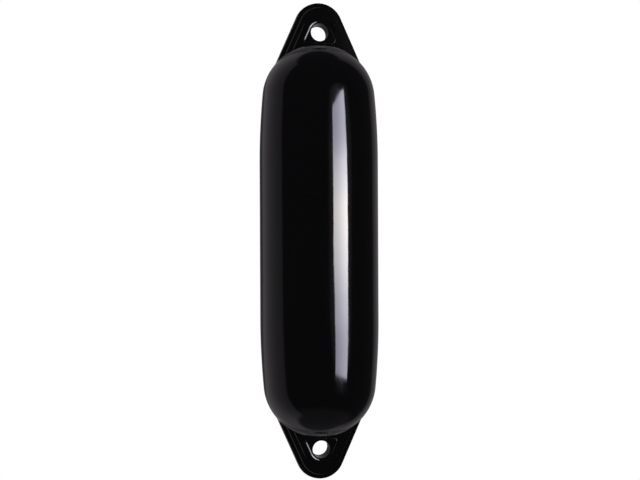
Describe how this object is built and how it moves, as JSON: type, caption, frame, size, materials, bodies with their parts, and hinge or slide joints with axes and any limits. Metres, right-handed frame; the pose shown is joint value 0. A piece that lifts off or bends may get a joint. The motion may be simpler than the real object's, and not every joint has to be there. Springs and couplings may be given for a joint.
{
  "type": "inflatable cylindrical boat fender",
  "caption": "Inflated cylindrical boat fender moulded in one piece, with domed ends, a stepped eye with a raised boss at each end and a screw valve in the back of the upper dome.",
  "frame": {"origin": "centre of the body, midway between the two eyes", "axes": "+Z along the body to the upper eye, X across the eyes' width, +Y through the eye holes to the back, where the valve is"},
  "size_m": [0.1508, 0.15, 0.602],
  "materials": {
    "glossy_black_pvc": "gloss",
    "moulded_nylon": "satin",
    "seal_rubber": "matte"
  },
  "bodies": {
    "root": {"fender_body": "glossy_black_pvc", "valve_bush": "moulded_nylon", "valve_seal": "seal_rubber", "valve_screw": "moulded_nylon"}
  },
  "joints": []
}
